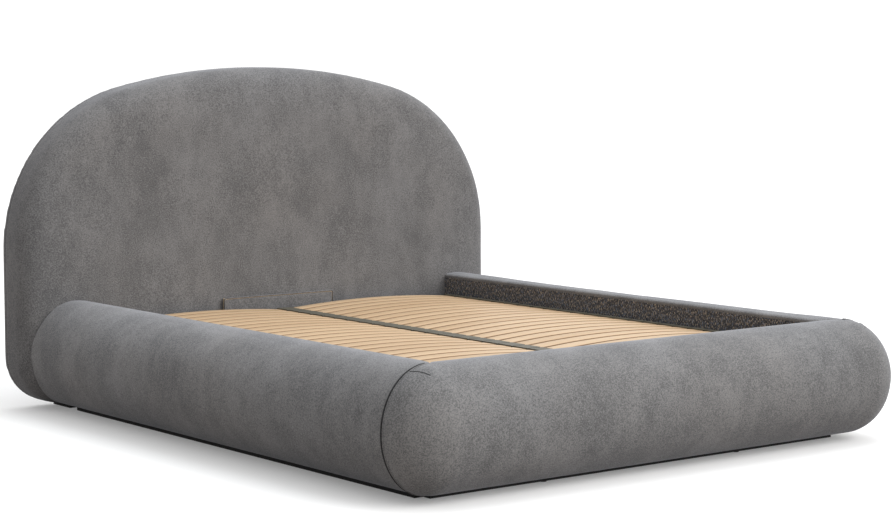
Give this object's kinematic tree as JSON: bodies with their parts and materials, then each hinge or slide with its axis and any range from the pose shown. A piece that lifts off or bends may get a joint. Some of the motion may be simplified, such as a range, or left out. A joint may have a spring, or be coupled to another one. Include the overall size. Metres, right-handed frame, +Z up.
{
  "type": "upholstered storage bed",
  "caption": "Upholstered double bed with a rounded arch headboard, bolster-shaped rails and a sprung slat platform that lifts over a felt-lined storage box.",
  "frame": {"origin": "on the floor, under the middle of the bed's overall length and width", "axes": "+Z up, +Y towards the headboard, +X to the right seen from the foot end"},
  "size_m": [2.084, 2.435, 1.218],
  "materials": {
    "upholstery": "matte",
    "storage_felt": "matte",
    "back_cloth": "matte",
    "foam": "matte",
    "particle_board": "matte",
    "timber": "matte",
    "black_base": "matte",
    "floor_board": "satin",
    "glide_plastic": "matte",
    "frame_steel": "satin",
    "beech": "satin",
    "cap_plastic": "matte",
    "linkage_steel": "satin",
    "bracket_steel": "satin",
    "stud_steel": "satin",
    "spring_tube": "gloss",
    "spring_rod": "polished",
    "webbing": "matte"
  },
  "bodies": {
    "bed_base": {"headboard_cover": "upholstery", "side_cover_left": "upholstery", "side_cover_right": "upholstery", "foot_cover": "upholstery", "side_lining_left": "storage_felt", "side_lining_right": "storage_felt", "foot_lining": "storage_felt", "headboard_back_cloth": "back_cloth", "headboard_foam": "foam", "side_foam_left": "foam", "side_foam_right": "foam", "foot_foam": "foam", "headboard_board": "particle_board", "side_board_left": "particle_board", "side_board_right": "particle_board", "foot_board": "particle_board", "head_crossboard": "particle_board", "headboard_frame": "timber", "floor_ledges": "timber", "floor_beam": "timber", "headboard_base": "black_base", "plinth_left": "black_base", "plinth_right": "black_base", "plinth_foot": "black_base", "floor_panel_left": "floor_board", "floor_panel_right": "floor_board", "glides": "glide_plastic", "base_bar_left": "linkage_steel", "base_bar_right": "linkage_steel", "corner_brackets": "bracket_steel", "headboard_brackets": "bracket_steel", "rest_brackets": "bracket_steel", "base_studs": "stud_steel", "bracket_bolts": "stud_steel"},
    "platform": {"mattress_stop_cover": "upholstery", "mattress_stop_board": "particle_board", "frame_side_tube_left": "frame_steel", "frame_side_tube_right": "frame_steel", "frame_head_tube": "frame_steel", "frame_foot_tube": "frame_steel", "frame_centre_tube": "frame_steel", "frame_cross_tubes": "frame_steel", "stop_arms": "frame_steel", "slats_left": "beech", "slats_right": "beech", "slat_caps_left": "cap_plastic", "slat_caps_right": "cap_plastic", "slat_caps_centre": "cap_plastic", "lift_angle_left": "linkage_steel", "lift_angle_right": "linkage_steel", "lift_studs": "stud_steel", "pull_strap": "webbing"},
    "rear_lever_left": {"rear_lever_left": "linkage_steel"},
    "rear_lever_right": {"rear_lever_right": "linkage_steel"},
    "front_lever_left": {"front_lever_left": "linkage_steel"},
    "front_lever_right": {"front_lever_right": "linkage_steel"},
    "gas_cylinder_left": {"gas_cylinder_left": "spring_tube"},
    "gas_cylinder_right": {"gas_cylinder_right": "spring_tube"},
    "gas_rod_left": {"gas_rod_left": "spring_rod"},
    "gas_rod_right": {"gas_rod_right": "spring_rod"}
  },
  "joints": [
    {"name": "lift_left", "type": "hinge", "parent": "bed_base", "child": "rear_lever_left", "pos_m": [-0.798, 0.4725, 0.07], "axis": [1, 0, 0], "range_deg": [0, 49.5]},
    {"name": "front_lever_turn_left", "type": "hinge", "parent": "bed_base", "child": "front_lever_left", "pos_m": [-0.798, 0.1125, 0.0885], "axis": [1, 0, 0], "range_deg": [0, 34.8]},
    {"name": "gas_spring_turn_left", "type": "hinge", "parent": "bed_base", "child": "gas_cylinder_left", "pos_m": [-0.798, 0.5345, 0.062], "axis": [1, 0, 0], "range_deg": [-8.6, 0]},
    {"name": "gas_spring_stroke_left", "type": "slide", "parent": "gas_cylinder_left", "child": "gas_rod_left", "axis": [0, -0.9215, 0.3885], "range_m": [0, 0.1084]},
    {"name": "platform_tilt", "type": "hinge", "parent": "rear_lever_left", "child": "platform", "pos_m": [-0.798, 0.6245, 0.225], "axis": [1, 0, 0], "range_deg": [-85.6, 0]},
    {"name": "lift_right", "type": "hinge", "parent": "bed_base", "child": "rear_lever_right", "pos_m": [0.798, 0.4725, 0.07], "axis": [1, 0, 0], "range_deg": [0, 49.6]},
    {"name": "front_lever_turn_right", "type": "hinge", "parent": "bed_base", "child": "front_lever_right", "pos_m": [0.798, 0.1125, 0.0885], "axis": [1, 0, 0], "range_deg": [0, 34.8]},
    {"name": "gas_spring_turn_right", "type": "hinge", "parent": "bed_base", "child": "gas_cylinder_right", "pos_m": [0.798, 0.5345, 0.062], "axis": [1, 0, 0], "range_deg": [-8.6, 0]},
    {"name": "gas_spring_stroke_right", "type": "slide", "parent": "gas_cylinder_right", "child": "gas_rod_right", "axis": [0, -0.9215, 0.3885], "range_m": [0, 0.1084]}
  ],
  "couplings": [
    {"joint": "platform_tilt", "follows": "lift_left", "ratio": -1.7273},
    {"joint": "front_lever_turn_left", "follows": "lift_left", "ratio": 0.70114},
    {"joint": "gas_spring_turn_left", "follows": "lift_left", "ratio": -0.17151},
    {"joint": "gas_spring_stroke_left", "follows": "lift_left", "m_per_rad": 0.12526},
    {"joint": "lift_right", "follows": "lift_left", "ratio": 1},
    {"joint": "front_lever_turn_right", "follows": "lift_left", "ratio": 0.70114},
    {"joint": "gas_spring_turn_right", "follows": "lift_left", "ratio": -0.17151},
    {"joint": "gas_spring_stroke_right", "follows": "lift_left", "m_per_rad": 0.12526}
  ]
}
